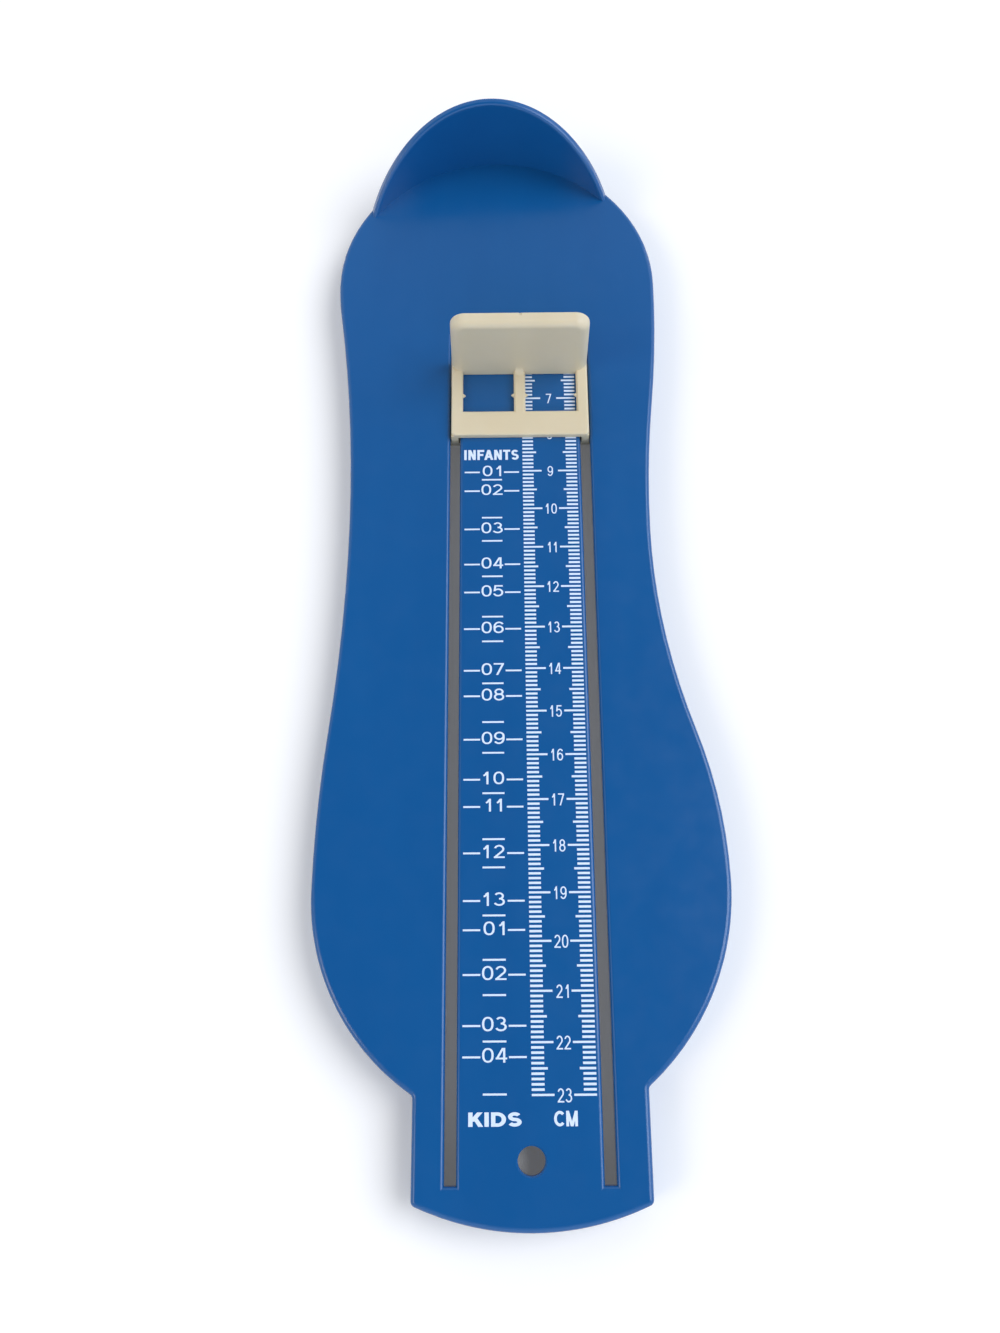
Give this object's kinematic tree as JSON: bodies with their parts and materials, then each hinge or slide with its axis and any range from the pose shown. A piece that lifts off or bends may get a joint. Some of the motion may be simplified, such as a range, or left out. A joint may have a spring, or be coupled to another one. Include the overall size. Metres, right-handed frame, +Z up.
{
  "type": "foot measuring gauge",
  "caption": "Sole-shaped moulded plate with a curved heel stop, and a toe slider with reading windows that runs in slots along it.",
  "frame": {"origin": "middle of the footprint, on the table that the plate rests on", "axes": "+Y along the plate towards the heel stop, +Z up, +X to the right seen from the toe end"},
  "size_m": [0.09, 0.26, 0.028],
  "materials": {
    "plate_blue": "moulded, glossy",
    "slider_white": "moulded, satin to glossy",
    "print_white": "pad-printed ink, flush"
  },
  "bodies": {
    "base": {"base_plate": "plate_blue"},
    "slider": {"toe_slider": "slider_white", "slider_clip": "slider_white"}
  },
  "joints": [
    {"name": "toe_slide", "type": "slide", "parent": "base", "child": "slider", "axis": [0, -1, 0], "range_m": [-0.008, 0.165]}
  ]
}
